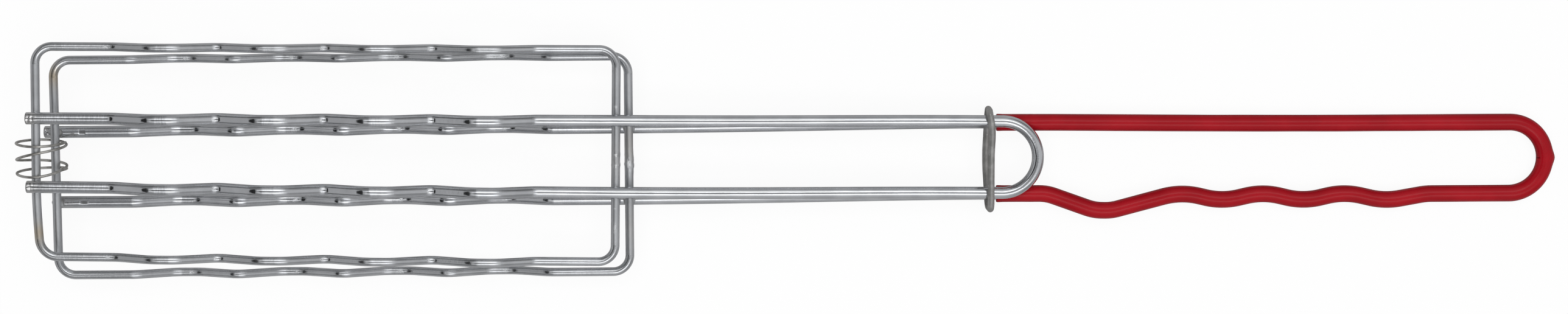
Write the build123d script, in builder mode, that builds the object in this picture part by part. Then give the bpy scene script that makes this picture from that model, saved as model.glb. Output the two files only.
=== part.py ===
"""Hinged sausage grill basket of bent and welded steel wire, closed and lying flat.

Two alike halves face each other. Each is a heavy rod bent to a U, with a lighter
rectangular wire frame welded across its legs, both pressed into four cross pockets.
The lower U is the longer one and its end is the dipped handle. A loose coil joins
the frames at one end and a sliding ring locks the legs at the other.
"""

import os
from math import atan, cos, degrees, pi, radians, sin, tan

from build123d import *

# Wires
rod_diameter = 5.5
frame_wire = 4.0
ring_wire = 3.2
coil_wire = 1.2
coat_thickness = 1.15

# One half, measured from its hinge wire towards the handle
frame_length = 262.0
frame_corner = 7.75
leg_spacing = 33.0
weld_sink = 0.5
pocket_count = 4
first_pocket = 57.8
pocket_pitch = 48.3
pocket_depth = 8.2
pocket_floor = 11.0
pocket_slope_run = 16.8
pocket_bend = 8.0
end_round = 0.9

# Lower half, with the handle
lower_frame_width = 99.4
lower_overhang = 5.7
handle_centre = 668.5
coat_start = 431.0
drip_reach = 0.8
drip_radius = 2.2
# Finger waves of the coated leg, as (station, offset outwards, bend radius) of each corner
first_dip = [(454.5, 0.0, 20.0), (476.5, 7.7, 22.0), (484.5, 7.7, 22.0)]
finger_start = 516.7
finger_pitch = 37.8
finger_crest = -1.1
finger_trough = 3.3
finger_bend = 34.0
finger_count = 3

# Upper half
upper_frame_width = 97.5
upper_overhang = 3.6
upper_bend_centre = 439.0

# How the halves lie when closed
ring_station = 427.7
hinge_wire_shift = 5.2
side_step_at_ring = 1.2
side_step_at_hinge = 8.7
handle_gap = 6.8
handle_gap_station = 443.3
frame_rest_gap = 0.3

# Locking ring, inside sizes
ring_inner_length = 42.0
ring_inner_height = 14.6
ring_side_shift = 0.1
ring_below_rod = 4.15
ring_corner = 4.6

# Hinge coil
coil_outside = 23.6
coil_turns = 3.0
closed_pitch = 1.72
open_length = 9.0
open_from_turn = 0.9
open_to_turn = 2.3
coil_lead = 0.03
coil_lag = 0.06
coil_lean = 5.0
coil_centre_x = -4.9
coil_centre_y = 4.75
coil_hang_gap = 0.35

# Butt weld of the frame and welds between the frame and the legs
butt_bead_length = 3.6
butt_bead_diameter = 5.0
weld_collar = 4.6

rod_radius = rod_diameter / 2
wire_radius = frame_wire / 2
coat_radius = rod_radius + coat_thickness
cross_offset = rod_radius + wire_radius - weld_sink
last_pocket = first_pocket + (pocket_count - 1) * pocket_pitch

# The lower half leans on its last pocket and on the end of the handle
lower_contact = last_pocket + pocket_floor / 2
handle_tip = handle_centre + leg_spacing / 2
lower_fall = (pocket_depth + rod_radius - coat_radius) / (handle_tip - lower_contact)

# The upper half leans on the lower frame's end and on the coated legs
frames_apart = frame_wire + frame_rest_gap
legs_apart = frames_apart + 2 * cross_offset
closing_slope = (legs_apart - handle_gap) / (handle_gap_station - frame_length)
side_slope = (side_step_at_hinge - side_step_at_ring) / (ring_station + hinge_wire_shift)


def lower_height(x):
    """Height of the lower legs' axis over the lower hinge wire's station."""
    return -lower_fall * x


def upper_height(x):
    """Height of the upper legs' axis, which closes on the lower legs to the right."""
    return lower_height(x) + handle_gap + closing_slope * (handle_gap_station - x)


def side_step(x):
    """How far the upper half lies sideways of the lower half."""
    return side_step_at_ring + side_slope * (ring_station - x)


lower_plane = Plane(origin=(0, 0, 0), x_dir=(1, 0, -lower_fall), z_dir=(lower_fall, 0, 1))

upper_run = Vector(1, -side_slope, -lower_fall - closing_slope).normalized()
upper_across = Vector(side_slope, 1, 0).normalized()
upper_plane = Plane(
    origin=(-hinge_wire_shift, side_step(-hinge_wire_shift), upper_height(-hinge_wire_shift)),
    x_dir=upper_run,
    z_dir=upper_across.cross(upper_run),
)


def pocket_points(y, z):
    """Corners of the four pressed pockets along one wire, from hinge to handle."""
    points = []
    for index in range(pocket_count):
        centre = first_pocket + index * pocket_pitch
        flat = pocket_floor / 2
        points += [
            (centre - flat - pocket_slope_run, y, z),
            (centre - flat, y, z - pocket_depth),
            (centre + flat, y, z - pocket_depth),
            (centre + flat + pocket_slope_run, y, z),
        ]
    return points


def sweep_round(plane, points, bends, diameter):
    """Add a round bar that follows straight runs joined by tangent bends."""
    with BuildLine(plane) as path:
        FilletPolyline(*points, radius=bends)
    with BuildSketch(Plane(origin=path.line @ 0, z_dir=path.line % 0)) as section:
        Circle(diameter / 2)
    sweep(sections=section.sketch, path=path.line)


def add_frame(plane, frame_width):
    """Add one closed rectangular frame with its rails pressed into pockets."""
    half_width = frame_width / 2
    for side in (1, -1):
        rail = pocket_points(side * half_width, cross_offset)
        points = [(0, 0, cross_offset), (0, side * half_width, cross_offset)]
        points += rail
        points += [(frame_length, side * half_width, cross_offset), (frame_length, 0, cross_offset)]
        bends = [frame_corner] + [pocket_bend] * len(rail) + [frame_corner]
        sweep_round(plane, points, bends, frame_wire)
    middle = plane.from_local_coords((frame_length, 0, cross_offset))
    bead_plane = Plane(origin=middle, z_dir=plane.y_dir)
    with BuildSketch(bead_plane) as bead:
        Circle(butt_bead_diameter / 2)
    extrude(to_extrude=bead.sketch, amount=butt_bead_length / 2, both=True)


def add_weld_collars(plane):
    """Add the metal squeezed out round the four crossings of frame and legs."""
    for x in (0, frame_length):
        for y in (-leg_spacing / 2, leg_spacing / 2):
            foot = plane.from_local_coords((x, y, rod_radius / 2))
            with BuildSketch(Plane(origin=foot, x_dir=plane.x_dir, z_dir=plane.z_dir)) as collar:
                Circle(weld_collar / 2)
            extrude(to_extrude=collar.sketch, amount=cross_offset - rod_radius / 2)


def round_ends(rod, plane, overhang):
    """Take the edge off the two sawn leg ends beside the hinge wire."""
    for y in (-leg_spacing / 2, leg_spacing / 2):
        tip = plane.from_local_coords((-overhang, y, 0))
        end_face = rod.part.faces().sort_by_distance(tip)[0]
        fillet(end_face.edges(), radius=end_round)


def lower_leg_route():
    """Corners and bends of the long U, from the straight leg's end round to the wavy one's."""
    y = leg_spacing / 2
    straight_leg = pocket_points(y, 0)
    wavy_leg = list(reversed(pocket_points(-y, 0)))
    turn = y - 0.05
    fingers = []
    for index in range(finger_count, 0, -1):
        trough = finger_start + (index - 0.5) * finger_pitch
        crest = finger_start + (index - 1) * finger_pitch
        fingers.append((trough, -y - finger_trough, 0))
        fingers.append((crest, -y - finger_crest, 0))
    last_run = (finger_start + finger_count * finger_pitch, -y, 0)
    dip = [(x, -y - out, 0) for x, out, bend in reversed(first_dip)]
    dip_bends = [bend for x, out, bend in reversed(first_dip)]
    points = [(-lower_overhang, y, 0)] + straight_leg
    points += [(handle_tip, y, 0), (handle_tip, -y, 0), last_run] + fingers + dip
    points += wavy_leg + [(-lower_overhang, -y, 0)]
    bends = [pocket_bend] * len(straight_leg) + [turn, turn, finger_bend]
    bends += [finger_bend] * len(fingers) + dip_bends + [pocket_bend] * len(wavy_leg)
    return points, bends


def coated_route():
    """The part of the long U that is dipped: from coat_start round and back to it."""
    points, bends = lower_leg_route()
    corners = list(zip(points[1:-1], bends))
    inside = [(point, bend) for point, bend in corners if point[0] > coat_start]
    y = leg_spacing / 2
    route = [(coat_start, y, 0)] + [point for point, bend in inside] + [(coat_start, -y, 0)]
    return route, [bend for point, bend in inside]


# Lower frame
with BuildPart() as lower_frame:
    add_frame(lower_plane, lower_frame_width)
lower_frame.part.label = "lower_frame"

# Lower handle rod, seated on the frame wires it is welded to
lower_route, lower_bends = lower_leg_route()
with BuildPart() as lower_handle_rod:
    sweep_round(lower_plane, lower_route, lower_bends, rod_diameter)
    round_ends(lower_handle_rod, lower_plane, lower_overhang)
    add(lower_frame.part, mode=Mode.SUBTRACT)
lower_handle_rod.part.label = "lower_handle_rod"

# Weld metal round the lower crossings
with BuildPart() as lower_welds:
    add_weld_collars(lower_plane)
    add(lower_frame.part, mode=Mode.SUBTRACT)
    add(lower_handle_rod.part, mode=Mode.SUBTRACT)
lower_welds.part.label = "lower_welds"

# Dipped coat of the handle, with the drip that set at its tip
coat_points, coat_bends = coated_route()
with BuildPart() as handle_grip:
    sweep_round(lower_plane, coat_points, coat_bends, 2 * coat_radius)
    drip_centre = handle_tip + coat_radius + drip_reach - drip_radius
    with Locations(lower_plane.from_local_coords((drip_centre, 0, 0))):
        Sphere(drip_radius)
    add(lower_handle_rod.part, mode=Mode.SUBTRACT)
handle_grip.part.label = "handle_grip"

# Upper frame
with BuildPart() as upper_frame:
    add_frame(upper_plane, upper_frame_width)
upper_frame.part.label = "upper_frame"

# Upper rod, a short U with its bend over the coated legs
with BuildPart() as upper_rod:
    side = leg_spacing / 2
    bend_tip = upper_bend_centre + side
    leg_out = pocket_points(side, 0)
    leg_back = list(reversed(pocket_points(-side, 0)))
    upper_route = [(-upper_overhang, side, 0)] + leg_out + [(bend_tip, side, 0)]
    upper_route += [(bend_tip, -side, 0)] + leg_back + [(-upper_overhang, -side, 0)]
    upper_bends = [pocket_bend] * len(leg_out) + [side - 0.05] * 2
    upper_bends += [pocket_bend] * len(leg_back)
    sweep_round(upper_plane, upper_route, upper_bends, rod_diameter)
    round_ends(upper_rod, upper_plane, upper_overhang)
    add(upper_frame.part, mode=Mode.SUBTRACT)
upper_rod.part.label = "upper_rod"

# Weld metal round the upper crossings
with BuildPart() as upper_welds:
    add_weld_collars(upper_plane)
    add(upper_frame.part, mode=Mode.SUBTRACT)
    add(upper_rod.part, mode=Mode.SUBTRACT)
upper_welds.part.label = "upper_welds"

# Locking ring, an oblong loop round all four legs, square to the lower legs
ring_radius = ring_wire / 2
ring_low = -ring_below_rod - ring_radius
ring_high = ring_low + ring_inner_height + ring_wire
ring_reach = ring_inner_length / 2 + ring_radius
with BuildPart() as locking_ring:
    for end in (1, -1):
        reach = end * ring_reach - ring_side_shift
        ring_points = [
            (ring_station, -ring_side_shift, ring_low),
            (ring_station, reach, ring_low),
            (ring_station, reach, ring_high),
            (ring_station, -ring_side_shift, ring_high),
        ]
        sweep_round(lower_plane, ring_points, [ring_corner] * 2, ring_wire)
locking_ring.part.label = "locking_ring"

# Hinge coil, hung on the upper hinge wire with the lower hinge wire inside it
coil_radius = (coil_outside - coil_wire) / 2
upper_wire = upper_plane.from_local_coords((0, 0, cross_offset))
hang = coil_outside / 2 - coil_wire - wire_radius - coil_hang_gap
coil_centre = Vector(coil_centre_x, coil_centre_y, upper_wire.Z - hang)


def opening(turn):
    """Smooth rise from 0 to 1 over the turns where the coil stands open, and its rate."""
    span = open_to_turn - open_from_turn
    t = min(max((turn - open_from_turn) / span, 0.0), 1.0)
    return t * t * (3 - 2 * t), 6 * t * (1 - t) / span


def coil_point(turn):
    """Point and direction on the coil: a leaning helix whose middle turn is drawn open."""
    angle = 2 * pi * turn
    rise, rate = opening(turn)
    length = closed_pitch * coil_turns + open_length
    lean = tan(radians(coil_lean)) * coil_radius
    y = length / 2 - closed_pitch * turn - open_length * rise - lean * sin(angle)
    point = coil_centre + Vector(coil_radius * cos(angle), y, coil_radius * sin(angle))
    pitch = closed_pitch + open_length * rate
    along = Vector(
        -2 * pi * coil_radius * sin(angle),
        -pitch - 2 * pi * lean * cos(angle),
        2 * pi * coil_radius * cos(angle),
    )
    return point, along.normalized()


def biarc(start, start_way, end, end_way):
    """Two arcs that meet smoothly and leave and arrive in the given directions."""
    reach = end - start
    ways = start_way + end_way
    a = ways.dot(ways) - 4
    b = -2 * reach.dot(ways)
    c = reach.dot(reach)
    d = (-b - (b * b - 4 * a * c) ** 0.5) / (2 * a)
    first = start + start_way * d
    last = end - end_way * d
    middle = (first + last) * 0.5
    TangentArc(start, middle, tangent=start_way)
    TangentArc(middle, end, tangent=last - first)


with BuildPart() as hinge_spring:
    steps = int(4 * coil_turns)
    stations = [-coil_lead] + [step / 4 for step in range(1, steps)] + [coil_turns + coil_lag]
    nodes = [coil_point(turn) for turn in stations]
    with BuildLine() as coil_path:
        Line(nodes[0][0] - nodes[0][1] * coil_wire, nodes[0][0])
        for (start, start_way), (end, end_way) in zip(nodes, nodes[1:]):
            biarc(start, start_way, end, end_way)
        Line(nodes[-1][0], nodes[-1][0] + nodes[-1][1] * coil_wire)
    with BuildSketch(Plane(origin=coil_path.line @ 0, z_dir=coil_path.line % 0)):
        Circle(coil_wire / 2)
    sweep(path=coil_path.line)
hinge_spring.part.label = "hinge_spring"

sample_count = 60 * steps
half_turn = 2 * sample_count // steps
samples = [coil_path.line @ (index / sample_count) for index in range(sample_count + 1)]
coil_gap = min(
    (samples[i] - samples[j]).length
    for i in range(len(samples))
    for j in range(i + half_turn, len(samples))
)
print("least gap between the coil's turns", round(coil_gap - coil_wire, 2))

# The origin goes to the bottom centre of the closed basket as it lies
pieces = [
    lower_handle_rod.part,
    lower_frame.part,
    lower_welds.part,
    handle_grip.part,
    upper_rod.part,
    upper_frame.part,
    upper_welds.part,
    locking_ring.part,
    hinge_spring.part,
]
box = Compound(pieces).bounding_box()
to_origin = Location((-box.center().X, -box.center().Y, -box.min.Z))

os.makedirs("parts", exist_ok=True)
for piece in pieces:
    piece.move(to_origin)
    export_step(piece, f"parts/{piece.label}.step")

print("shift", round(-box.center().X, 3), round(-box.center().Y, 3), round(-box.min.Z, 3))
print("size", round(box.size.X, 2), round(box.size.Y, 2), round(box.size.Z, 2))
print("lean of the lower half", round(degrees(atan(lower_fall)), 3))
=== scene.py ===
"""Hinged sausage grill basket of bent, welded and plated steel wire, with a red dipped handle.

The script follows the basket as it is put together: the long handle rod, the lower frame and
its welds, the dipped grip, the upper half, the hinge coil and the locking ring. After them
come the floor, the light and the camera. Sizes are in millimetres; meshes are in metres.
"""

from math import cos, pi, sin

import bpy
import numpy as np
from mathutils import Matrix, Vector


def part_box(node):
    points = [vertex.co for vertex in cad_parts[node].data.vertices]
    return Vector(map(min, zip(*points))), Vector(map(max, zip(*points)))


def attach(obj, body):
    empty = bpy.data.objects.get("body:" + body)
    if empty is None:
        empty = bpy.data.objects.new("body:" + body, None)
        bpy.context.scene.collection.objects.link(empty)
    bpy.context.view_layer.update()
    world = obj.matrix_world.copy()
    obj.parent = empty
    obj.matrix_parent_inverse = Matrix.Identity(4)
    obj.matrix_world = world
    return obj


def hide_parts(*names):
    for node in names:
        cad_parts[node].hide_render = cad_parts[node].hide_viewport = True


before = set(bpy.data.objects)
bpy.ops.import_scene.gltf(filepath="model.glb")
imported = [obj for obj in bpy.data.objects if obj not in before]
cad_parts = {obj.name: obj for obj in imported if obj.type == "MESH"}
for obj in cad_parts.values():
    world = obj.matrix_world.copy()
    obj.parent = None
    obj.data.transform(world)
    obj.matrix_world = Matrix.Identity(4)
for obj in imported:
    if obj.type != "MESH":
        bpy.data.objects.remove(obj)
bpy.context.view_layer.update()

# The long handle rod: 5.5 mm drawn steel wire, bent to a U whose closed end is the handle,
# pressed into four cross pockets near its open end and bright plated. One leg has finger
# waves. The two sawn ends are squeezed a little where the welding electrodes held them.
rod_diameter = 5.5
rod_radius = rod_diameter / 2
frame_wire = 4.0
wire_radius = frame_wire / 2
coat_radius = rod_radius + 1.15
leg_spacing = 33.0
leg_side = leg_spacing / 2
end_bend = leg_side - 0.05
cross_offset = rod_radius + wire_radius - 0.5
frame_length = 262.0
pocket_count = 4
first_pocket = 57.8
pocket_pitch = 48.3
pocket_depth = 8.2
pocket_flat = 5.5
pocket_slope_run = 16.8
floor_bend = 14.0
crest_bend = 7.1
outer_bend = 11.0
pocket_bends = [crest_bend, floor_bend, floor_bend, crest_bend] * pocket_count
pocket_bends[0] = pocket_bends[-1] = outer_bend
lower_overhang = 5.7
short_overhang = 1.0
handle_centre = 668.5
handle_tip = handle_centre + leg_side
end_round = 0.55
# Corners of the dip before the finger waves, as (station, offset outwards, bend radius)
first_dip = [(454.5, 0.0, 20.0), (476.5, 7.7, 22.0), (484.5, 7.7, 22.0)]
finger_start = 516.7
finger_pitch = 37.8
finger_crest = -1.1
finger_trough = 3.3
finger_bend = 34.0
finger_count = 3
last_contact = first_pocket + (pocket_count - 1) * pocket_pitch + pocket_flat
lower_fall = (pocket_depth + rod_radius - coat_radius) / (handle_tip - last_contact)

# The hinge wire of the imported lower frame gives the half's own origin
hinge_low, hinge_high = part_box("lower_frame")
lower_seat = np.array([
    hinge_low.x * 1000 + wire_radius - cross_offset * lower_fall,
    (hinge_low.y + hinge_high.y) * 500,
    hinge_high.z * 1000 - cross_offset - wire_radius,
])

# Bent by hand, the basket isn't quite straight: it bows a little sideways near the ring, and
# the legs of each half stand a little closer together at the hinge
bow_height = 1.35
bow_centre = 88.0
bow_length = 96.0
lower_pinch = 0.3
pinch_limit = 1.1


class Half:
    """The plane of one half: point(p) = origin + p.x run + p.y across + p.z towards the other half.

    Every wire shares the basket's slight bow, height exp(-((x - centre) / length)^2) sideways,
    and the legs of a half may be pinched together towards its hinge wire.
    """

    def __init__(self, origin, run, across, pinch):
        self.origin = np.array(origin, float)
        run = np.array(run, float) / np.linalg.norm(run)
        inward = np.cross(run, np.array(across, float))
        inward /= np.linalg.norm(inward)
        self.axes = np.array([run, np.cross(inward, run), inward])
        self.pinch = pinch

    def lay(self, points):
        """Points given in the half's own axes, pinched, bowed and put in the shared frame."""
        points = np.array(points, float)
        towards_hinge = np.clip(1 - points[..., 0] / frame_length, 0, pinch_limit)
        points[..., 1] -= self.pinch * towards_hinge * np.clip(points[..., 1] / leg_side, -1, 1)
        placed = self.origin + points @ self.axes
        placed[..., 1] += bow_height * np.exp(-(((placed[..., 0] - bow_centre) / bow_length) ** 2))
        return placed


lower_half = Half(lower_seat, (1, 0, -lower_fall), (0, 1, 0), lower_pinch)


def pocket_corners(y, z):
    """Corners of the four pressed pockets along one wire, from hinge to handle."""
    corners = []
    for index in range(pocket_count):
        centre = first_pocket + index * pocket_pitch
        corners += [
            (centre - pocket_flat - pocket_slope_run, y, z),
            (centre - pocket_flat, y, z - pocket_depth),
            (centre + pocket_flat, y, z - pocket_depth),
            (centre + pocket_flat + pocket_slope_run, y, z),
        ]
    return corners


def bent_line(corners, bends, step=1.0, arc_step=0.4):
    """Centre line of a bent wire: straight runs joined by tangent arcs.

    At a corner that turns by t with bend radius b the run stops b tan(t/2) short, and the arc
    is start + b (sin a * way in + (1 - cos a) * way to the bend's centre) for a from 0 to t.
    """
    corners = np.array(corners, float)
    runs = np.diff(corners, axis=0)
    ways = runs / np.linalg.norm(runs, axis=1)[:, None]
    pieces = []
    start = corners[0]
    for corner, bend, way_in, way_out in zip(corners[1:-1], bends, ways[:-1], ways[1:]):
        turn = np.arccos(np.clip(way_in @ way_out, -1, 1))
        first = corner - way_in * bend * np.tan(turn / 2)
        inwards = way_out - way_in * np.cos(turn)
        inwards /= np.linalg.norm(inwards)
        count = max(2, int(np.ceil(bend * turn / arc_step)))
        angle = np.linspace(0, turn, count + 1)[:, None]
        arc = first + bend * (np.sin(angle) * way_in + (1 - np.cos(angle)) * inwards)
        count = max(1, int(np.ceil(np.linalg.norm(first - start) / step)))
        pieces += [np.linspace(start, first, count, endpoint=False), arc[:-1]]
        start = arc[-1]
    count = max(1, int(np.ceil(np.linalg.norm(corners[-1] - start) / step)))
    pieces.append(np.linspace(start, corners[-1], count + 1))
    return np.concatenate(pieces)


def stations_of(line):
    """Length along a line at each of its points."""
    steps = np.linalg.norm(np.diff(line, axis=0), axis=1)
    return np.concatenate([[0.0], np.cumsum(steps)])


def add_stations(line, extra):
    """The same line with more points at the given lengths along it."""
    along = stations_of(line)
    merged = np.union1d(along, np.clip(extra, 0, along[-1]))
    return np.stack([np.interp(merged, along, line[:, axis]) for axis in range(3)], axis=1)


def rounded_end(along, edge):
    """What the radius loses near a cut end: sqrt(edge^2 - (edge - along)^2) - edge."""
    into = np.clip(along, 0, edge)
    return np.sqrt(np.maximum(edge**2 - (edge - into) ** 2, 0)) - edge


def spoke_angles(around):
    """Angle of each spoke of a wire's skin: 0 at the side and pi / 2 on top."""
    return 2 * pi * np.arange(around) / around - pi / 2


def new_piece(name, vertices, faces):
    """A smooth-shaded object at the origin; the vertices are in millimetres."""
    mesh = bpy.data.meshes.new(name)
    mesh.from_pydata((vertices / 1000).tolist(), [], faces)
    mesh.polygons.foreach_set("use_smooth", np.ones(len(mesh.polygons), bool))
    piece = bpy.data.objects.new(name, mesh)
    bpy.context.scene.collection.objects.link(piece)
    return piece


def wire_mesh(name, line, normal, radius, around, closed=False, marks=None):
    """Skin of a wire: point = line + radius (cos v * side + sin v * normal).

    normal is the direction that stays up while the wire bends, radius is a number or an array
    over stations and angles, and marks are arrays of the same shape kept as attributes. The
    UV map along_wire holds metres along the wire and the share of the way round it.
    """
    along = stations_of(line)
    if closed:
        tangent = np.roll(line, -1, axis=0) - np.roll(line, 1, axis=0)
    else:
        tangent = np.gradient(line, axis=0)
    tangent /= np.linalg.norm(tangent, axis=1)[:, None]
    up = np.broadcast_to(normal, line.shape)
    up = up - np.sum(up * tangent, axis=1)[:, None] * tangent
    up /= np.linalg.norm(up, axis=1)[:, None]
    side = np.cross(tangent, up)
    angle = spoke_angles(around)
    radius = np.broadcast_to(radius, (len(line), around))
    spokes = np.cos(angle)[None, :, None] * side[:, None, :]
    spokes = spokes + np.sin(angle)[None, :, None] * up[:, None, :]
    skin = line[:, None, :] + radius[:, :, None] * spokes

    rings = len(line)
    spans = rings if closed else rings - 1
    i = np.arange(spans)[:, None]
    j = np.arange(around)[None, :]
    after = (i + 1) % rings
    beside = (j + 1) % around
    here, there = i * around, after * around
    faces = np.stack([here + j, here + beside, there + beside, there + j], axis=-1)
    full = along[-1] + (np.linalg.norm(line[0] - line[-1]) if closed else 0)
    reach = np.append(along, full)[: spans + 1]
    u = np.stack([reach[i], reach[i], reach[i + 1], reach[i + 1]], axis=-1) + 0 * j[..., None]
    v = np.stack([j, j + 1, j + 1, j], axis=-1) + 0 * i[..., None]
    uv = np.stack([u / 1000, v / around], axis=-1).reshape(-1, 2)

    vertices = skin.reshape(-1, 3)
    face_list = faces.reshape(-1, 4).tolist()
    if not closed:
        vertices = np.concatenate([vertices, line[:1], line[-1:]])
        hub = rings * around
        last = (rings - 1) * around
        face_list += [[hub, (a + 1) % around, a] for a in range(around)]
        face_list += [[hub + 1, last + a, last + (a + 1) % around] for a in range(around)]
        cap_uv = np.tile([0.0, 0.5], (3 * around, 1))
        uv = np.concatenate([uv, cap_uv, cap_uv + [full / 1000, 0]])

    piece = new_piece(name, vertices, face_list)
    mesh = piece.data
    layer = mesh.uv_layers.new(name="along_wire")
    layer.data.foreach_set("uv", uv.astype(np.float32).ravel())
    for mark, values in (marks or {}).items():
        values = np.broadcast_to(values, (rings, around)).ravel()
        values = np.concatenate([values, np.zeros(len(vertices) - len(values))])
        attribute = mesh.attributes.new(mark, "FLOAT", "POINT")
        attribute.data.foreach_set("value", values.astype(np.float32))
    mesh.update()
    return piece


def smooth_noise(shape, seed, blur):
    """Seeded random field over stations and angles, blurred blur[0] rings and blur[1] spokes."""
    field = np.random.default_rng(seed).standard_normal(shape)
    for axis, width in enumerate(blur):
        kernel = np.hanning(2 * width + 3)[1:-1]
        kernel /= np.sqrt(np.sum(kernel**2))
        pad = [(width, width) if a == axis else (0, 0) for a in (0, 1)]
        padded = np.pad(field, pad, mode="wrap")
        field = np.apply_along_axis(np.convolve, axis, padded, kernel, "valid")
    return field


def top_share(around, width):
    """Share of a mark on each spoke: 1 on top of the wire, falling off over width radians."""
    away = np.angle(np.exp(1j * (spoke_angles(around) - pi / 2)))
    return np.exp(-((away / width) ** 2))


def bump_at(position, centre, width):
    """Bell of height 1 at centre: exp(-((position - centre) / width)^2)."""
    return np.exp(-(((position - centre) / width) ** 2))


class Wire:
    """A socket of a node tree. Arithmetic on it adds Math nodes, and make adds any other node."""

    def __init__(self, tree, socket=None):
        self.tree = tree
        self.socket = socket

    def make(self, kind, settings=None, inputs=None, output=0):
        """Add a node: its settings first, then the values or links of its sockets."""
        node = self.tree.nodes.new(kind)
        for name, value in (settings or {}).items():
            setattr(node, name, value)
        for key, value in (inputs or {}).items():
            if isinstance(value, Wire):
                self.tree.links.new(value.socket, node.inputs[key])
            else:
                node.inputs[key].default_value = value
        return Wire(self.tree, node.outputs[output])

    def sums(self, operation, *values):
        return self.make("ShaderNodeMath", {"operation": operation}, dict(enumerate(values)))

    def __add__(self, other):
        return self.sums("ADD", self, other)

    def __radd__(self, other):
        return self.sums("ADD", other, self)

    def __sub__(self, other):
        return self.sums("SUBTRACT", self, other)

    def __rsub__(self, other):
        return self.sums("SUBTRACT", other, self)

    def __mul__(self, other):
        return self.sums("MULTIPLY", self, other)

    def __truediv__(self, other):
        return self.sums("DIVIDE", self, other)

    def clamped(self, low, high):
        """0 at low, 1 at high and a smooth step between them."""
        settings = {"interpolation_type": "SMOOTHSTEP"}
        inputs = {"Value": self, "From Min": low, "From Max": high}
        return self.make("ShaderNodeMapRange", settings, inputs)

    def bell(self, centre, width):
        """exp(-((value - centre) / width)^2), a soft hump of height 1."""
        away = (self - centre) / width
        return self.sums("EXPONENT", away * away * -1.0)

    def tint(self, plain, marked):
        """The colour plain where this is 0 and marked where it is 1."""
        ends = [(*shade, 1.0) if isinstance(shade, tuple) else shade for shade in (plain, marked)]
        settings = {"data_type": "RGBA", "clamp_factor": True}
        inputs = {"Factor": self, 6: ends[0], 7: ends[1]}
        return self.make("ShaderNodeMix", settings, inputs, output=2)


def new_finish(name):
    """An empty material and its node tree."""
    material = bpy.data.materials.new(name)
    material.use_nodes = True
    material.node_tree.nodes.clear()
    return material, Wire(material.node_tree)


def show(shader, kind="ShaderNodeOutputMaterial"):
    """Link a shader to a new output node of its tree."""
    output = shader.tree.nodes.new(kind)
    shader.tree.links.new(shader.socket, output.inputs["Surface"])


def finish_with(tree, inputs):
    """Close a material with one shader that has the given sockets."""
    show(tree.make("ShaderNodeBsdfPrincipled", None, inputs))


def noise(place, scale, detail, roughness=0.5, flat=False):
    """Noise about 0.5, in two dimensions if flat, with scale features per unit of place."""
    settings = {"noise_dimensions": "2D" if flat else "3D"}
    inputs = {"Vector": place, "Scale": scale, "Detail": detail, "Roughness": roughness}
    return place.make("ShaderNodeTexNoise", settings, inputs)


def bumped(height, depth):
    """Normals of a surface that stands depth metres higher where height is 1."""
    inputs = {"Strength": 1.0, "Distance": depth, "Height": height}
    return height.make("ShaderNodeBump", None, inputs)


# Near-white plate for real scratches and rubs, also used as a painted highlight on the pocket walls
wear_and_sheen_plate = (0.93, 0.94, 0.95)
heated_plate = (0.62, 0.52, 0.38)
# Dark grey for the inside of the pit: painted shade of the recess
pit_shade_plate = (0.24, 0.24, 0.24)
dull_share = 0.86
plate_relief = 0.000018
# Features per metre, and for the drawn ones per metre along the wire and per turn round it
peel_scale = 420.0
stain_scale = 75.0
ripple_scale = (1300.0, 3.0)
scratch_scale = (900.0, 60.0)
rub_and_sheen_weight = 0.46
wear_start = 0.9
wear_range = 0.14


def plated_steel(name, metal, roughness, cross_roughness):
    """Bright plating over drawn wire: fine ripple along the wire, orange peel, rubbed marks and
    painted highlights.
    """
    material, tree = new_finish(name)
    place = tree.make("ShaderNodeTexCoord", output="Object")
    wound = tree.make("ShaderNodeUVMap", {"uv_map": "along_wire"})
    along = tree.make("ShaderNodeSeparateXYZ", None, {0: wound}, output=0)
    turned = tree.make("ShaderNodeSeparateXYZ", None, {0: wound}, output=1)
    cross, rub_and_sheen, heated, pitted = (
        tree.make("ShaderNodeAttribute", {"attribute_name": mark}, output="Fac")
        for mark in ("cross_run", "rub_and_sheen", "heated", "pitted")
    )

    def drawn(scale, detail, roughness):
        """Noise wrapped round the wire, with scale features along it and round it."""
        inputs = {0: along * scale[0], 1: turned * scale[1]}
        stretched = tree.make("ShaderNodeCombineXYZ", None, inputs)
        return noise(stretched, 1.0, detail, roughness, flat=True)

    # Ripple of the drawing die, across the wire and so fine that it only spreads highlights
    ripple = drawn(ripple_scale, 2.0, 0.5)
    peel = noise(place, peel_scale, 2.0)
    stain = noise(place, stain_scale, 4.0)
    scratches = drawn(scratch_scale, 4.0, 0.75)
    # Near-white plate: real scratches and rubbing, and on the pocket walls a painted highlight
    # standing in for the reflected ends of the strip lamps
    wear_and_sheen = (scratches + rub_and_sheen * rub_and_sheen_weight - wear_start).clamped(0.0, wear_range)

    dull = tuple(dull_share * shade for shade in metal)
    colour = stain.clamped(0.35, 0.68).tint(dull, metal)
    colour = (heated * stain * 1.4).tint(colour, heated_plate)
    colour = (wear_and_sheen * 0.7).tint(colour, wear_and_sheen_plate)
    # Dark grey inside the pit: painted shade of the recess
    colour = (pitted * 0.8).tint(colour, pit_shade_plate)
    rough = roughness + cross * (cross_roughness - roughness) + (stain - 0.5) * 0.06
    rough = rough + wear_and_sheen * 0.22 + pitted * 0.15
    normal = bumped(ripple * 1.0 + peel * 1.6 - wear_and_sheen * 1.2, plate_relief)
    bare = 1.0 - wear_and_sheen * 0.55
    inputs = {"Base Color": colour, "Metallic": bare, "Roughness": rough, "Normal": normal}
    finish_with(tree, inputs)
    return material


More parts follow.
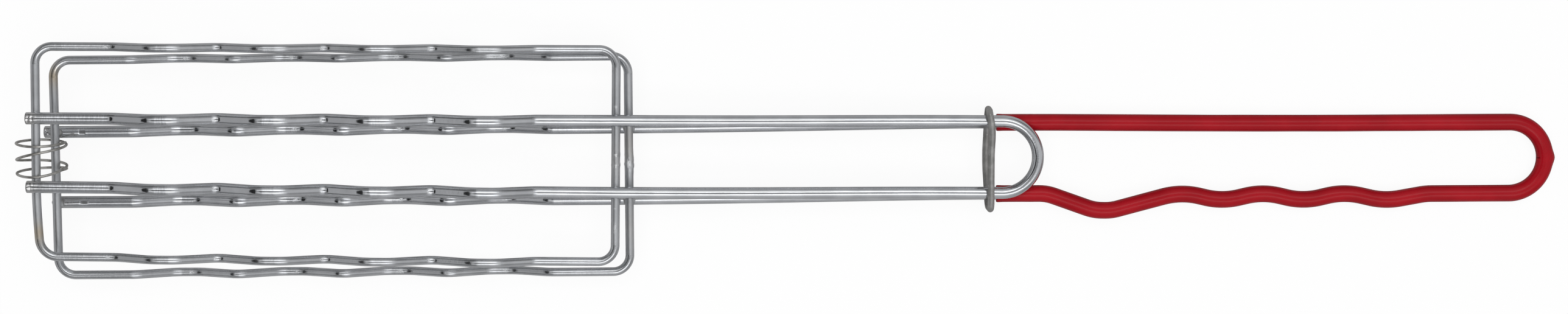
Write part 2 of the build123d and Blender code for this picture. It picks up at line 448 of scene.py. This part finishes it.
def lower_leg_route():
    """Corners and bends of the long U, from the straight leg's end round to the wavy one's."""
    y = leg_side
    straight_leg = pocket_corners(y, 0)
    wavy_leg = list(reversed(pocket_corners(-y, 0)))
    fingers = []
    for index in range(finger_count, 0, -1):
        trough = finger_start + (index - 0.5) * finger_pitch
        crest = finger_start + (index - 1) * finger_pitch
        fingers += [(trough, -y - finger_trough, 0), (crest, -y - finger_crest, 0)]
    last_run = (finger_start + finger_count * finger_pitch, -y, 0)
    dip = [(x, -y - out, 0) for x, out, bend in reversed(first_dip)]
    dip_bends = [bend for x, out, bend in reversed(first_dip)]
    corners = [(-lower_overhang, y, 0)] + straight_leg
    corners += [(handle_tip, y, 0), (handle_tip, -y, 0), last_run] + fingers + dip
    corners += wavy_leg + [(-short_overhang, -y, 0)]
    bends = pocket_bends + [end_bend, end_bend, finger_bend]
    bends += [finger_bend] * len(fingers) + dip_bends + pocket_bends
    return corners, bends


# Waves pressed in by the electrodes, as (distance from the end, half length, share of depth)
electrode_waves = [(1.6, 0.55, 1.0), (3.3, 0.6, 0.8), (5.4, 0.8, 0.6)]
electrode_depth = 0.16
end_reach = 6.0
end_unevenness = 0.05
wire_unevenness = 0.004
rod_mark_width = 0.75
rod_rub_and_sheen_length = 2.4
first_rub_and_sheen_share = 0.3
end_rub = 0.6
end_heat = 0.25
# Where the walls of the pockets carry real rubbing with a painted highlight over it, from each
# pocket's centre
lower_rub_and_sheen_offset = 1.5
upper_rub_and_sheen_offset = -26.0


def rod_skin(line, around, seed, rub_and_sheen_offset):
    """Radius and marks of a heavy rod: rounded ends, electrode dents and rubbed pocket walls with a
    painted highlight.

    The radius is the rod's own, less the shallow waves of the electrodes near each end, plus
    a faint unevenness. Each pocket wall is rubbed and painted with a highlight at the given offset
    from its centre.
    """
    along = stations_of(line)
    from_end = np.minimum(along, along[-1] - along)
    edge = rounded_end(from_end, end_round)[:, None]
    top = top_share(around, rod_mark_width)[None, :]
    waves = sum(share * bump_at(from_end, place, width) for place, width, share in electrode_waves)
    uneven = smooth_noise((len(line), around), seed, (3, 2))
    near_end = bump_at(from_end, 0.0, end_reach)[:, None]
    radius = rod_radius + edge - electrode_depth * waves[:, None] * top
    radius = radius + end_unevenness * near_end * uneven * top + wire_unevenness * uneven
    rub_and_sheen = end_rub * near_end * top
    # Pocket walls: partly real rubbing, partly a painted highlight of the strip lamps' ends
    for index in range(pocket_count):
        centre = first_pocket + index * pocket_pitch + rub_and_sheen_offset
        share = 1.0 if index else first_rub_and_sheen_share
        rub_and_sheen = rub_and_sheen + share * bump_at(line[:, 0], centre, rod_rub_and_sheen_length)[:, None] * top
    cross_run = np.zeros((len(line), 1))
    return radius, {"rub_and_sheen": rub_and_sheen, "cross_run": cross_run, "heated": end_heat * near_end}


# An oblong pit on top of each lower leg, pressed in by the welding jig and painted dark inside as
# shade; its width is in radians
pit_station = 11.9
pit_length = 3.0
pit_depth = 0.16
pit_edge = 0.25
pit_width = 0.3
rod_around = 36
end_steps = np.array([0.03, 0.1, 0.2, 0.35, 0.55, 0.9, 1.2, 1.6, 2.0, 2.4, 2.8, 3.3, 3.8, 4.4])
corners, bends = lower_leg_route()
flat_line = bent_line(corners, bends)
length = stations_of(flat_line)[-1]
fine_steps = np.concatenate([end_steps, np.arange(15.5, 20.0, 0.2)])
flat_line = add_stations(flat_line, np.concatenate([fine_steps, length - fine_steps]))
radius, marks = rod_skin(flat_line, rod_around, seed=11, rub_and_sheen_offset=lower_rub_and_sheen_offset)
off_pit = np.abs(flat_line[:, 0] - pit_station)
on_top = top_share(rod_around, pit_width)[None, :] > 0.5
pit = np.clip((pit_length / 2 - off_pit) / pit_edge, 0, 1)[:, None] * on_top
radius = radius - pit_depth * pit
marks["pitted"] = pit
handle_rod = wire_mesh("handle_rod", lower_half.lay(flat_line), lower_half.axes[2], radius,
                       rod_around, marks=marks)
bright_rod = plated_steel("bright_rod_finish", (0.76, 0.775, 0.80), 0.125, 0.3)
handle_rod.data.materials.append(bright_rod)
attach(handle_rod, "lower")
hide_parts("lower_handle_rod")

# The lower frame: 4 mm plated wire bent to a closed rectangle that lies across the legs, its
# two long rails pressed into the same pockets. Its ends are butt-welded in the middle of
# the cross wire nearest the handle, which leaves a rough bead and heat-tinted bends.
lower_frame_width = 99.4
frame_corner = 7.75
frame_around = 28
frame_mark_width = 0.8
frame_rub_and_sheen_length = 2.2
bead_unevenness = 0.07
bead_wear = 1.15
kick_from = 19.0
kick_fade = 60.0


def frame_corners(frame_width):
    """Corners and bends of the closed rectangle, from the middle of the hinge wire and back."""
    half_width = frame_width / 2
    near_rail = pocket_corners(half_width, cross_offset)
    far_rail = list(reversed(pocket_corners(-half_width, cross_offset)))
    corners = [(0, 0, cross_offset), (0, half_width, cross_offset)] + near_rail
    corners += [(frame_length, half_width, cross_offset), (frame_length, -half_width, cross_offset)]
    corners += far_rail + [(0, -half_width, cross_offset), (0, 0, cross_offset)]
    bends = [frame_corner] + pocket_bends + [frame_corner] * 2 + pocket_bends + [frame_corner]
    return corners, bends


def frame_piece(name, half, frame_width, seed, rub_and_sheen_offset, beads, rubs, heat_spots, kick=0.0):
    """One frame: even wire with lumpy butt beads, rubbed pocket walls with a painted highlight, and
    tinted bends.

    beads are (place, half length, rise) and rubs (place, half length) along the cross wire
    nearest the handle; beads bulge towards the handle. heat_spots are (x, y, reach, share).
    The +y end of the hinge wire is bent inwards by kick * share^1.5 of the way past kick_from.
    """
    corners, bends = frame_corners(frame_width)
    line = bent_line(corners, bends, step=0.5)[:-1]
    past_middle = np.clip((line[:, 1] - kick_from) / (frame_width / 2 - kick_from), 0, 1) ** 1.5
    line[:, 0] += kick * past_middle * np.clip(1 - line[:, 0] / kick_fade, 0, 1)
    x, y = line[:, 0], line[:, 1]
    uneven = smooth_noise((len(line), frame_around), seed, (1, 1))
    top = top_share(frame_around, frame_mark_width)[None, :]
    if half is not lower_half:
        top = np.roll(top, frame_around // 2, axis=1)
    towards_handle = (1 - np.cos(spoke_angles(frame_around))) / 2
    radius = wire_radius + wire_unevenness * uneven

    on_cross = (np.abs(y) < frame_width / 2 - frame_corner) * 1.0
    rub_and_sheen = np.zeros((len(line), frame_around))
    # Pocket walls: real rubbing with a painted highlight over it
    for index in range(pocket_count):
        centre = first_pocket + index * pocket_pitch + rub_and_sheen_offset
        rub_and_sheen = rub_and_sheen + bump_at(x, centre, frame_rub_and_sheen_length)[:, None] * top
    rub_and_sheen = rub_and_sheen * (1 - on_cross)[:, None]
    near_handle = x > frame_length - 1
    for place, half_length, rise in beads:
        bead = (bump_at(y, place, half_length) * near_handle)[:, None]
        radius = radius + bead * (rise * towards_handle + bead_unevenness * uneven)
        rub_and_sheen = rub_and_sheen + bead_wear * bead * top
    for place, half_length in rubs:
        rub_and_sheen = rub_and_sheen + (bump_at(y, place, half_length) * near_handle)[:, None] * top
    heated = np.zeros(len(line))
    for centre_x, centre_y, reach, share in heat_spots:
        heated = heated + share * bump_at(x, centre_x, reach) * bump_at(y, centre_y, reach)
    marks = {"rub_and_sheen": rub_and_sheen, "cross_run": on_cross[:, None], "heated": heated[:, None]}
    up = half.axes[2]
    return wire_mesh(name, half.lay(line), up, radius, frame_around, closed=True, marks=marks)


lower_beads = [(0.6, 3.8, 0.4)]
lower_heat = [
    (0.5, 42.0, 5.0, 1.0),
    (frame_length, 10.0, 8.0, 0.3),
    (frame_length, -28.0, 10.0, 0.2),
]
lower_frame_piece = frame_piece(
    "lower_frame_wire", lower_half, lower_frame_width, seed=21, rub_and_sheen_offset=lower_rub_and_sheen_offset,
    beads=lower_beads, rubs=[], heat_spots=lower_heat,
)
bright_wire = plated_steel("bright_frame_finish", (0.72, 0.735, 0.755), 0.19, 0.34)
lower_frame_piece.data.materials.append(bright_wire)
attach(lower_frame_piece, "lower")
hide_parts("lower_frame")

# The weld metal of the lower half: where frame and legs cross, resistance welding sinks one
# wire into the other and squeezes a low uneven collar out round the joint.
collar_radius = 2.75
collar_height = 1.5
collar_centre = rod_radius - 0.25
collar_bluntness = 0.6
collar_unevenness = 0.07
collar_turns = 40
collar_rows = 17


def weld_collars(name, half, seed):
    """Four lumpy lens-shaped collars: point = centre + radius(v, u) (cos u, sin u) + height(v)."""
    u = 2 * pi * np.arange(collar_turns) / collar_turns
    v = np.linspace(-pi / 2, pi / 2, collar_rows + 2)[1:-1]
    i = np.arange(collar_rows - 1)[:, None] * collar_turns
    j = np.arange(collar_turns)[None, :]
    beside = (j + 1) % collar_turns
    above = i + collar_turns
    quads = np.stack([i + j, i + beside, above + beside, above + j], axis=-1).reshape(-1, 4)
    south = collar_rows * collar_turns
    last = south - collar_turns
    vertices = []
    faces = []
    crossings = [(x, y) for x in (0, frame_length) for y in (-leg_side, leg_side)]
    for number, (x, y) in enumerate(crossings):
        lumps = smooth_noise((collar_rows, collar_turns), seed + number, (3, 3))
        lens = np.cos(v)[:, None] ** collar_bluntness
        reach = collar_radius * lens * (1 + collar_unevenness * lumps)
        height = collar_centre + collar_height * np.sin(v)[:, None] + 0 * u[None, :]
        skin = np.stack([x + reach * np.cos(u), y + reach * np.sin(u), height], axis=-1)
        poles = [[x, y, collar_centre - collar_height], [x, y, collar_centre + collar_height]]
        base = number * (south + 2)
        vertices += [skin.reshape(-1, 3), poles]
        faces += (base + quads).tolist()
        spokes = [(base + k, base + (k + 1) % collar_turns) for k in range(collar_turns)]
        faces += [[base + south, b, a] for a, b in spokes]
        faces += [[base + south + 1, last + a, last + b] for a, b in spokes]
    return new_piece(name, half.lay(np.concatenate(vertices)), faces)


weld_dull = (0.46, 0.46, 0.45)
weld_bright = (0.72, 0.73, 0.74)
weld_relief = 0.00012


def weld_finish():
    """Plated-over weld metal: greyer and rougher than the wire, with a fine grain."""
    material, tree = new_finish("weld_finish")
    place = tree.make("ShaderNodeTexCoord", output="Object")
    grain = noise(place, 900.0, 5.0)
    colour = noise(place, 350.0, 3.0).clamped(0.4, 0.65).tint(weld_dull, weld_bright)
    rough = 0.34 + grain * 0.3
    normal = bumped(grain, weld_relief)
    finish_with(tree, {"Base Color": colour, "Metallic": 1.0, "Roughness": rough, "Normal": normal})
    return material


weld_metal = weld_finish()
lower_collars = weld_collars("lower_weld_collars", lower_half, seed=31)
lower_collars.data.materials.append(weld_metal)
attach(lower_collars, "lower")
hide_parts("lower_welds")

# The grip: the handle end is dipped in red PVC, which sets as a glossy rubbery coat with a
# squared start, faint wrinkles near it and a small drip at the tip where it hung to cure.
coat_start = 431.0
coat_around = 44
coat_edge = 0.45
coat_lip = 0.10
lip_place = 1.2
lip_length = 1.2
coat_unevenness = 0.014
wrinkle_place = 17.0
wrinkle_length = 3.0
wrinkle_height = 0.03
drip_length = 0.8
drip_width = 2.2


def coated_route():
    """Corners and bends of the dipped part of the long U, from coat_start round and back."""
    corners, bends = lower_leg_route()
    dipped = [pair for pair in zip(corners[1:-1], bends) if pair[0][0] > coat_start]
    route = [(coat_start, leg_side, 0)] + [corner for corner, bend in dipped]
    return route + [(coat_start, -leg_side, 0)], [bend for corner, bend in dipped]


def grip_skin(line):
    """Radius of the coat: rounded start edges, slow unevenness, wrinkles and the drip outwards."""
    along = stations_of(line)
    from_end = np.minimum(along, along[-1] - along)
    shape = (len(line), coat_around)
    uneven = smooth_noise(shape, 41, (14, 5))
    wrinkled = bump_at(from_end, wrinkle_place, wrinkle_length)[:, None]
    wrinkle = wrinkled * smooth_noise(shape, 43, (1, 6))
    outwards = np.clip(-np.cos(spoke_angles(coat_around)), 0, 1)[None, :]
    at_tip = bump_at(line[:, 1], 0.0, drip_width) * (line[:, 0] > handle_centre)
    drip = at_tip[:, None] * outwards**6
    lip = coat_lip * bump_at(from_end, lip_place, lip_length)[:, None]
    radius = coat_radius + rounded_end(from_end, coat_edge)[:, None] + lip
    return radius + coat_unevenness * uneven + wrinkle_height * wrinkle + drip_length * drip


coat_deep = (0.288, 0.0036, 0.0088)
coat_thin = (0.345, 0.0050, 0.0115)
coat_relief = 0.00004
coat_gloss = 0.18


def dipped_finish():
    """Glossy red PVC: deep even red with faint flow marks and fine dimples."""
    material, tree = new_finish("dipped_finish")
    place = tree.make("ShaderNodeTexCoord", output="Object")
    flow = noise(place, 60.0, 3.0)
    dimples = noise(place, 650.0, 3.0)
    colour = flow.clamped(0.35, 0.7).tint(coat_deep, coat_thin)
    rough = 0.12 + flow * 0.09
    normal = bumped(dimples * 0.35 + flow * 2.0, coat_relief)
    inputs = {"Base Color": colour, "Roughness": rough, "Normal": normal}
    finish_with(tree, {**inputs, "Specular IOR Level": coat_gloss})
    return material


corners, bends = coated_route()
flat_line = bent_line(corners, bends, arc_step=0.8)
length = stations_of(flat_line)[-1]
lip_steps = np.array([0.03, 0.1, 0.2, 0.32, 0.45, 0.7])
flat_line = add_stations(flat_line, np.concatenate([lip_steps, length - lip_steps]))
grip = wire_mesh("dipped_grip", lower_half.lay(flat_line), lower_half.axes[2],
                 grip_skin(flat_line), coat_around)
red_coat = dipped_finish()
grip.data.materials.append(red_coat)
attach(grip, "lower")
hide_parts("handle_grip")

# The upper rod: the same 5.5 mm wire in a short U. Turned over, its pockets bulge up over the
# lower ones, and its bend lies on the coated legs of the handle, which it closes onto.
upper_overhang = 3.6
upper_bend_centre = 439.0
hinge_wire_shift = 5.2
ring_station = 427.7
side_step_at_ring = 1.2
side_step_at_hinge = 8.7
handle_gap = 6.8
handle_gap_station = 443.3
upper_pinch = 0.95
frames_apart = frame_wire + 0.3
legs_apart = frames_apart + 2 * cross_offset
closing_slope = (legs_apart - handle_gap) / (handle_gap_station - frame_length)
side_slope = (side_step_at_hinge - side_step_at_ring) / (ring_station + hinge_wire_shift)
upper_hinge_height = lower_fall * hinge_wire_shift + handle_gap
upper_hinge_height += closing_slope * (handle_gap_station + hinge_wire_shift)
upper_seat = lower_seat + [-hinge_wire_shift, side_step_at_hinge, upper_hinge_height]
upper_run = (1, -side_slope, -lower_fall - closing_slope)
upper_half = Half(upper_seat, upper_run, (-side_slope, -1, 0), upper_pinch)

upper_tip = upper_bend_centre + leg_side
corners = [(-upper_overhang, leg_side, 0)] + pocket_corners(leg_side, 0)
corners += [(upper_tip, leg_side, 0), (upper_tip, -leg_side, 0)]
corners += list(reversed(pocket_corners(-leg_side, 0))) + [(-upper_overhang, -leg_side, 0)]
bends = pocket_bends + [end_bend] * 2 + pocket_bends
flat_line = bent_line(corners, bends)
length = stations_of(flat_line)[-1]
flat_line = add_stations(flat_line, np.concatenate([end_steps, length - end_steps]))
radius, marks = rod_skin(flat_line, rod_around, seed=12, rub_and_sheen_offset=upper_rub_and_sheen_offset)
upper_rod_piece = wire_mesh("upper_u_rod", upper_half.lay(flat_line), -upper_half.axes[2], radius,
                            rod_around, marks=marks)
upper_rod_piece.data.materials.append(bright_rod)
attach(upper_rod_piece, "upper")
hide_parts("upper_rod")

# The upper frame: the same closed rectangle of 4 mm wire, under the upper legs. Its butt weld
# was ground nearly flush, and only two bright beads and some scratches show.
upper_frame_width = 97.5
upper_kick = 1.7
upper_beads = [(-0.8, 0.8, 0.15), (4.0, 0.8, 0.15)]
upper_rubs = [(-22.7, 2.0), (23.9, 0.8), (33.0, 5.0)]
upper_heat = [(1.5, 38.0, 5.0, 1.0), (frame_length, 0.0, 8.0, 0.12)]
upper_frame_piece = frame_piece(
    "upper_frame_wire", upper_half, upper_frame_width, seed=22, rub_and_sheen_offset=upper_rub_and_sheen_offset,
    beads=upper_beads, rubs=upper_rubs, heat_spots=upper_heat, kick=upper_kick,
)
upper_frame_piece.data.materials.append(bright_wire)
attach(upper_frame_piece, "upper")
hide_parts("upper_frame")

# The weld metal of the upper half, squeezed out under the legs in the same four collars.
upper_collars = weld_collars("upper_weld_collars", upper_half, seed=35)
upper_collars.data.materials.append(weld_metal)
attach(upper_collars, "upper")
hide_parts("upper_welds")

# The hinge coil: three turns of 1.2 mm spring wire round both hinge wires, hung loosely on
# the upper one. Its middle turn has been drawn open, and its last end curls inwards.
coil_wire = 1.2
coil_radius = 11.1
coil_curl = 1.5
curl_from = 2.93
curl_to = 3.04
coil_end_turn = 3.12
coil_around = 14
coil_steps = 420
coil_gap = 0.35
coil_end_round = 0.12
# Sideways place of the wire at each quarter turn, from the free end nearest the straight leg
coil_sides = np.array([
    12.3, 11.2, 12.3, 12.5, 10.7, 8.0, 4.2, 2.9, 0.95, -2.6, -1.4, -0.4, -0.2, -2.4,
])
coil_centre = lower_seat + [-5.0, 0.0, 0.0]
hang = coil_radius - coil_wire / 2 - wire_radius - coil_gap
coil_centre[2] = upper_half.lay([0, 0, cross_offset])[2] - hang


def coil_line(turn):
    """Centre + (r cos a, side(turn), r sin a) with a = 2 pi turn, drawn by hand out of a helix.

    side runs through coil_sides as a Catmull-Rom cubic of the share f of each quarter turn,
    and r falls by coil_curl over the last end.
    """
    quarter = turn * 4
    i = np.clip(quarter.astype(int), 0, len(coil_sides) - 2)
    f = quarter - i
    first, second, last_but_one, last = coil_sides[[0, 1, -2, -1]]
    padded = np.concatenate([[2 * first - second], coil_sides, [2 * last - last_but_one]])
    before, start, end, after = (padded[i + step] for step in range(4))
    side = 2 * start + (end - before) * f + (2 * before - 5 * start + 4 * end - after) * f**2
    side = (side + (3 * (start - end) + after - before) * f**3) / 2
    curled = np.clip((turn - curl_from) / (curl_to - curl_from), 0, 1)
    r = coil_radius - coil_curl * curled * curled * (3 - 2 * curled)
    angle = 2 * pi * turn
    return coil_centre + np.stack([r * np.cos(angle), side, r * np.sin(angle)], axis=1)


spring_dull = (0.44, 0.425, 0.395)
spring_bright = (0.70, 0.685, 0.655)
spring_relief = 0.00002


def spring_finish():
    """Plain spring wire: warm grey-brown steel, bright in places and dull with old oil."""
    material, tree = new_finish("spring_finish")
    stain = noise(tree.make("ShaderNodeTexCoord", output="Object"), 260.0, 4.0)
    colour = stain.clamped(0.35, 0.7).tint(spring_dull, spring_bright)
    rough = 0.24 + stain * 0.16
    normal = bumped(stain, spring_relief)
    finish_with(tree, {"Base Color": colour, "Metallic": 1.0, "Roughness": rough, "Normal": normal})
    return material


line = coil_line(np.linspace(0, coil_end_turn, coil_steps))
outwards = line - coil_centre
outwards[:, 1] = 0
along = stations_of(line)
from_end = np.minimum(along, along[-1] - along)
coil_skin = coil_wire / 2 + rounded_end(from_end, coil_end_round)[:, None]
coil = wire_mesh("hinge_coil", line, outwards, coil_skin, coil_around)
spring_wire = spring_finish()
coil.data.materials.append(spring_wire)
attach(coil, "coil")
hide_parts("hinge_spring")

# The locking ring: a closed oblong of dull 3.2 mm wire round all four legs. It slides along
# them and holds the basket shut. Its wire is unplated, with a few bright worn specks.
ring_wire = 3.2
ring_radius = ring_wire / 2
ring_inner_length = 42.0
ring_inner_height = 14.6
ring_side_shift = 0.1
ring_below_rod = 4.15
ring_corner = 4.6
ring_around = 26
ring_back_skew = 1.0
ring_front_bend = 0.5
ring_bend_place = 12.0
ring_bend_length = 7.0
ring_end_share = 1.4
ring_end_length = 4.0
ring_unevenness = 0.012
ring_pit_start = 1.9
ring_pit_depth = 0.05
ring_low = -ring_below_rod - ring_radius
ring_high = ring_low + ring_inner_height + ring_wire
ring_reach = ring_inner_length / 2 + ring_radius
left_reach = -ring_reach - ring_side_shift
right_reach = ring_reach - ring_side_shift

ring_corners = [
    (ring_station, 0, ring_high),
    (ring_station, right_reach, ring_high),
    (ring_station, right_reach, ring_low),
    (ring_station, left_reach, ring_low),
    (ring_station, left_reach, ring_high),
    (ring_station, 0, ring_high),
]
line = bent_line(ring_corners, [ring_corner] * 4, arc_step=0.35)[:-1]
# Its lower wire bows towards the hinge, and its upper one is bent a little the other way
x, y, z = line.T
depth_share = (ring_high - z) / (ring_high - ring_low)
bow = np.cos(pi * y / (2 * ring_reach + ring_wire)) ** 2
bend = bump_at(y, ring_bend_place, ring_bend_length)
bend = bend - ring_end_share * bump_at(y, ring_reach, ring_end_length)
x += (1 - depth_share) * ring_front_bend * bend - ring_back_skew * depth_share * bow
uneven = smooth_noise((len(line), ring_around), 51, (2, 2))
pits = np.clip(uneven - ring_pit_start, 0, 1)
ring_skin = ring_radius + ring_unevenness * uneven - ring_pit_depth * pits


ring_dull = (0.42, 0.415, 0.40)
ring_bright = (0.60, 0.595, 0.58)
ring_speck = (0.8, 0.8, 0.8)
ring_relief = 0.00006


def ring_finish():
    """Unplated drawn wire gone matt: warm grey, with bright worn specks."""
    material, tree = new_finish("ring_finish")
    place = tree.make("ShaderNodeTexCoord", output="Object")
    stain = noise(place, 240.0, 5.0)
    specks = noise(place, 900.0, 1.0)
    bright = specks.clamped(0.70, 0.76)
    colour = bright.tint(stain.clamped(0.35, 0.7).tint(ring_dull, ring_bright), ring_speck)
    rough = 0.46 + stain * 0.16 - bright * 0.2
    normal = bumped(stain + specks * 0.4, ring_relief)
    finish_with(tree, {"Base Color": colour, "Metallic": 1.0, "Roughness": rough, "Normal": normal})
    return material


ring = wire_mesh("locking_loop", lower_half.lay(line), lower_half.axes[0], ring_skin,
                 ring_around, closed=True)
dull_ring = ring_finish()
ring.data.materials.append(dull_ring)
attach(ring, "ring")
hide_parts("locking_ring")

# The floor: a wide pale sheet just under the basket. The camera sees it nearly white, and it
# keeps a soft trace of the basket's shadow.
floor_half = 4000.0
floor_drop = 0.2
floor_grey = (0.36, 0.36, 0.36, 1.0)
glow_white = (1.0, 1.0, 1.0, 1.0)
floor_glow = 1.14
glow_share = 0.8
sheet = [(-1, -1), (1, -1), (1, 1), (-1, 1)]
sheet = np.array([(x * floor_half, y * floor_half, -floor_drop) for x, y in sheet])
floor = new_piece("pale_floor", sheet, [(0, 1, 2, 3)])
material, tree = new_finish("pale_floor_finish")
seen = tree.make("ShaderNodeLightPath", output="Is Camera Ray")
paper = tree.make("ShaderNodeBsdfDiffuse", None, {"Color": floor_grey})
glow = tree.make("ShaderNodeEmission", None, {"Color": glow_white, "Strength": floor_glow})
show(tree.make("ShaderNodeMixShader", None, {0: seen * glow_share, 1: paper, 2: glow}))
floor.data.materials.append(material)

# The light: a grey room with two long strip lamps overhead, parallel to the basket. Towards the
# hinge end the lamps stop, and a dark patch hangs there with a softer light before it.
# Places and widths are in degrees: over the basket's width, or (from, to) along its length.
strip_angle = 24.5
strip_width = 5.8
strip_strength = 1.5
strip_far_share = 0.6
lamps_on = (-27.0, -16.0)
halo_angle = 33.0
halo_width = 17.0
halo_strength = 0.45
room_level = 0.262
broad_level = 0.222
broad_on = (-12.0, -1.0)
fade_over = (10.0, 40.0)
fade_share = 0.9
gap_width = 9.5
gap_depth = 0.21
wall_angle = 75.0
wall_width = 9.0
wall_depth = 0.22
near_wall_on = (-20.0, -45.0)
end_level = 0.42
end_fade = 10.0
patch_centre = -38.0
patch_half_length = 10.5
patch_half_width = 36.0
patch_taper = 13.0
patch_edge = (1.25, 0.8)
patch_level = 0.02
soft_centre = -21.0
soft_length = 6.0
soft_width = 24.0
soft_level = 0.34
side_on = (8.0, 28.0)
side_width = 32.0
side_level = 0.26
room_tint = (0.985, 0.99, 1.0, 1.0)

world = bpy.data.worlds.new("studio")
bpy.context.scene.world = world
world.use_nodes = True
world.node_tree.nodes.clear()
sky = Wire(world.node_tree)
look = sky.make("ShaderNodeTexCoord", output="Generated")
look_x, look_y, look_z = (
    sky.make("ShaderNodeSeparateXYZ", None, {0: look}, output=axis) for axis in range(3)
)
# Degrees from overhead towards the far side, and towards the handle
over = sky.sums("ARCTAN2", look_y, look_z) * (180 / pi)
along_sky = sky.sums("ARCSINE", look_x) * (180 / pi)
strips = over.bell(strip_angle, strip_width) + over.bell(-strip_angle, strip_width)
halos = over.bell(halo_angle, halo_width) + over.bell(-halo_angle, halo_width)
near_wall = over.bell(-wall_angle, wall_width) * along_sky.clamped(*near_wall_on)
walls = over.bell(wall_angle, wall_width) + near_wall
broad = along_sky.clamped(*broad_on)
lamps = strips * along_sky.clamped(*lamps_on) * (strip_far_share + broad * (1 - strip_far_share))
fading = 1.0 - along_sky.clamped(*fade_over) * fade_share
level = room_level + broad * broad_level * fading - walls * wall_depth
level = level + halos * broad * fading * halo_strength
level = level - over.bell(0.0, gap_width) * gap_depth * fading
level = level + lamps * fading * strip_strength
level = level + over.bell(0.0, soft_width) * along_sky.bell(soft_centre, soft_length) * soft_level
level = level + over.bell(0.0, side_width) * along_sky.clamped(*side_on) * side_level
past_patch = along_sky.clamped(patch_centre, patch_centre - end_fade)
level = level * (1.0 - past_patch) + (end_level - walls * wall_depth) * past_patch
patch_x = (along_sky - patch_centre) / patch_half_length
patch_y = over / (patch_half_width + patch_x * patch_taper)
patch = (patch_x * patch_x).clamped(*patch_edge) * (patch_y * patch_y).clamped(*patch_edge)
level = level * (1.0 - patch) + patch * patch_level
glow = sky.make("ShaderNodeBackground", None, {"Color": room_tint, "Strength": level})
show(glow, "ShaderNodeOutputWorld")

fill_size = 2.6
fill_height = 2.2
fill_watts = 42.0
lamp = bpy.data.lights.new("soft_fill", "AREA")
lamp.shape = "SQUARE"
lamp.size = fill_size
lamp.energy = fill_watts
fill = bpy.data.objects.new("soft_fill", lamp)
fill.location = (0.0, 0.0, fill_height)
fill.visible_glossy = False
fill.visible_camera = False
bpy.context.scene.collection.objects.link(fill)

# The camera: nearly overhead, leaning a little towards the straight leg's side and rolled a
# third of a degree, as the basket was seen.
image_width = 2576
focal_pixels = 4700.0
look_at = np.array([-3.28, -0.77, 15.0])
view_distance = 1311.9
view_tilt = 0.0952
view_roll = -0.0051
away = np.array([0.0, sin(view_tilt), cos(view_tilt)])
eye = look_at + view_distance * away
right = np.array([1.0, 0.0, 0.0])
above = np.cross(away, right)
turned_right = cos(view_roll) * right + sin(view_roll) * above
turned_above = -sin(view_roll) * right + cos(view_roll) * above
lens = bpy.data.cameras.new("overhead_camera")
lens.sensor_fit = "HORIZONTAL"
lens.sensor_width = 36.0
lens.lens = focal_pixels / image_width * lens.sensor_width
lens.clip_start = 0.05
lens.clip_end = 50.0
camera = bpy.data.objects.new("overhead_camera", lens)
bpy.context.scene.collection.objects.link(camera)
turn = Matrix([turned_right.tolist(), turned_above.tolist(), away.tolist()]).transposed()
camera.matrix_world = Matrix.Translation(Vector((eye / 1000).tolist())) @ turn.to_4x4()
bpy.context.scene.camera = camera
bpy.context.scene.view_settings.view_transform = "Standard"
